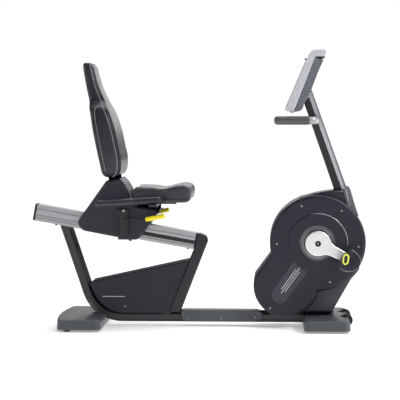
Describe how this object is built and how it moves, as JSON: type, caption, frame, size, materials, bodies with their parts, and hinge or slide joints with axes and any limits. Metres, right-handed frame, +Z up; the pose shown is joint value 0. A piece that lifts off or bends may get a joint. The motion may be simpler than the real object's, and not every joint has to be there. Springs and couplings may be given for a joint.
{
  "type": "recumbent exercise bike",
  "caption": "Recumbent exercise bike: high-backed padded seat sliding on an inclined rail, pedal crank with enclosed flywheel drive, console mast with handlebar, and wide feet.",
  "frame": {"origin": "on the floor, under the centre of the bike", "axes": "+X towards the console end, +Y to the rider's left, +Z up"},
  "size_m": [1.6938, 0.59, 1.402],
  "materials": {
    "black_paint": "satin powder coat",
    "black_trim": "satin",
    "charcoal_plastic": "fine moulded grain",
    "panel_plastic": "fine moulded grain",
    "grey_plastic": "fine moulded grain",
    "console_grey": "satin",
    "silver_paint": "metallic silver paint",
    "silver_plastic": "metallic silver paint on plastic",
    "anodised_aluminium": "brushed, anodised",
    "polished_aluminium": "fine cast, polished",
    "black_steel": "phosphated",
    "machined_steel": "machined",
    "black_rubber": "matte",
    "black_leather": "grained synthetic leather, satin gloss",
    "yellow_plastic": "satin",
    "dark_glass": "glossy black display window",
    "green_plastic": "satin",
    "black_plastic": "moulded"
  },
  "bodies": {
    "frame": {"rear_upright": "black_paint", "base_beam": "black_paint", "front_post": "black_paint", "panel_left": "panel_plastic", "panel_right": "panel_plastic", "base_cover": "grey_plastic", "rear_foot": "grey_plastic", "front_foot": "grey_plastic", "leveller_rear_right": "black_rubber", "leveller_rear_left": "black_rubber", "leveller_front_right": "black_rubber", "leveller_front_left": "black_rubber", "seat_rail": "anodised_aluminium", "adjust_rack": "black_plastic", "rail_end_cap": "black_plastic", "housing_right": "charcoal_plastic", "housing_left": "charcoal_plastic", "side_cover_right": "panel_plastic", "side_cover_left": "panel_plastic", "front_column": "charcoal_plastic", "drive_frame": "black_steel", "brake_magnet": "machined_steel", "drive_belt": "black_rubber", "mast": "silver_paint", "mast_rear_cover": "charcoal_plastic", "handlebar": "silver_paint", "hand_grip_right": "black_rubber", "hand_grip_left": "black_rubber", "console_bezel": "silver_plastic", "console_screen": "dark_glass", "console_back": "console_grey"},
    "seat": {"carriage_frame": "black_steel", "carriage_cover_right": "charcoal_plastic", "carriage_cover_left": "charcoal_plastic", "lever_bracket": "black_plastic", "seat_pan": "charcoal_plastic", "seat_cushion": "black_leather", "seat_handle_right": "black_rubber", "seat_handle_left": "black_rubber", "backrest_post": "black_steel", "backrest_shell": "charcoal_plastic", "backrest_cushion": "black_leather"},
    "rear_roller": {"roller_rear": "black_plastic"},
    "front_roller": {"roller_front": "black_plastic"},
    "lever": {"release_lever": "black_trim", "lever_grip_right": "yellow_plastic", "lever_grip_left": "yellow_plastic"},
    "lock": {"lock_pin": "machined_steel"},
    "crank": {"crank_axle": "machined_steel", "crank_right": "polished_aluminium", "crank_left": "polished_aluminium"},
    "right_pedal": {"pedal_right": "black_plastic", "pedal_strap_right": "black_rubber"},
    "left_pedal": {"pedal_left": "black_plastic", "pedal_strap_left": "black_rubber"},
    "flywheel_rotor": {"flywheel": "machined_steel"},
    "right_wheel": {"transport_wheel_right": "black_rubber"},
    "left_wheel": {"transport_wheel_left": "black_rubber"},
    "minus_key": {"key_minus": "charcoal_plastic"},
    "plus_key": {"key_plus": "green_plastic"}
  },
  "joints": [
    {"name": "seat_slide", "type": "slide", "parent": "frame", "child": "seat", "axis": [0.9844, 0, -0.1761], "range_m": [-0.2, 0.2]},
    {"name": "rear_roller_turn", "type": "hinge", "parent": "seat", "child": "rear_roller", "pos_m": [-0.52039, 0, 0.58206], "axis": [0, 1, 0], "continuous": true},
    {"name": "front_roller_turn", "type": "hinge", "parent": "seat", "child": "front_roller", "pos_m": [-0.32239, 0, 0.54665], "axis": [0, 1, 0], "continuous": true},
    {"name": "lever_lift", "type": "hinge", "parent": "seat", "child": "lever", "pos_m": [-0.355, 0, 0.552], "axis": [0, -1, 0], "range_deg": [0, 10], "stiffness_Nm_per_rad": 2, "springref_deg": -17.19},
    {"name": "lock_pin_slide", "type": "slide", "parent": "seat", "child": "lock", "axis": [0, -1, 0], "range_m": [0, 0.008]},
    {"name": "crank_spin", "type": "hinge", "parent": "frame", "child": "crank", "pos_m": [0.606, 0, 0.434], "axis": [0, 1, 0], "continuous": true},
    {"name": "right_pedal_spin", "type": "hinge", "parent": "crank", "child": "right_pedal", "pos_m": [0.73911, -0.2, 0.36705], "axis": [0, 1, 0], "continuous": true},
    {"name": "left_pedal_spin", "type": "hinge", "parent": "crank", "child": "left_pedal", "pos_m": [0.47289, 0.2, 0.50095], "axis": [0, 1, 0], "continuous": true},
    {"name": "flywheel_spin", "type": "hinge", "parent": "frame", "child": "flywheel_rotor", "pos_m": [0.443, 0, 0.219], "axis": [0, 1, 0], "continuous": true},
    {"name": "right_wheel_roll", "type": "hinge", "parent": "frame", "child": "right_wheel", "pos_m": [0.752, -0.1, 0.045], "axis": [0, 1, 0], "continuous": true},
    {"name": "left_wheel_roll", "type": "hinge", "parent": "frame", "child": "left_wheel", "pos_m": [0.752, 0.1, 0.045], "axis": [0, 1, 0], "continuous": true},
    {"name": "minus_key_press", "type": "slide", "parent": "frame", "child": "minus_key", "axis": [0.9282, 0, -0.372], "range_m": [0, 0.0018], "stiffness_N_per_m": 400, "springref_m": -0.004},
    {"name": "plus_key_press", "type": "slide", "parent": "frame", "child": "plus_key", "axis": [0.9282, 0, -0.372], "range_m": [0, 0.0018], "stiffness_N_per_m": 400, "springref_m": -0.004}
  ],
  "couplings": [
    {"joint": "rear_roller_turn", "follows": "seat_slide", "rad_per_m": 83.333},
    {"joint": "front_roller_turn", "follows": "seat_slide", "rad_per_m": 83.333},
    {"joint": "lock_pin_slide", "follows": "lever_lift", "m_per_rad": 0.0458},
    {"joint": "flywheel_spin", "follows": "crank_spin", "ratio": 4.5833}
  ]
}
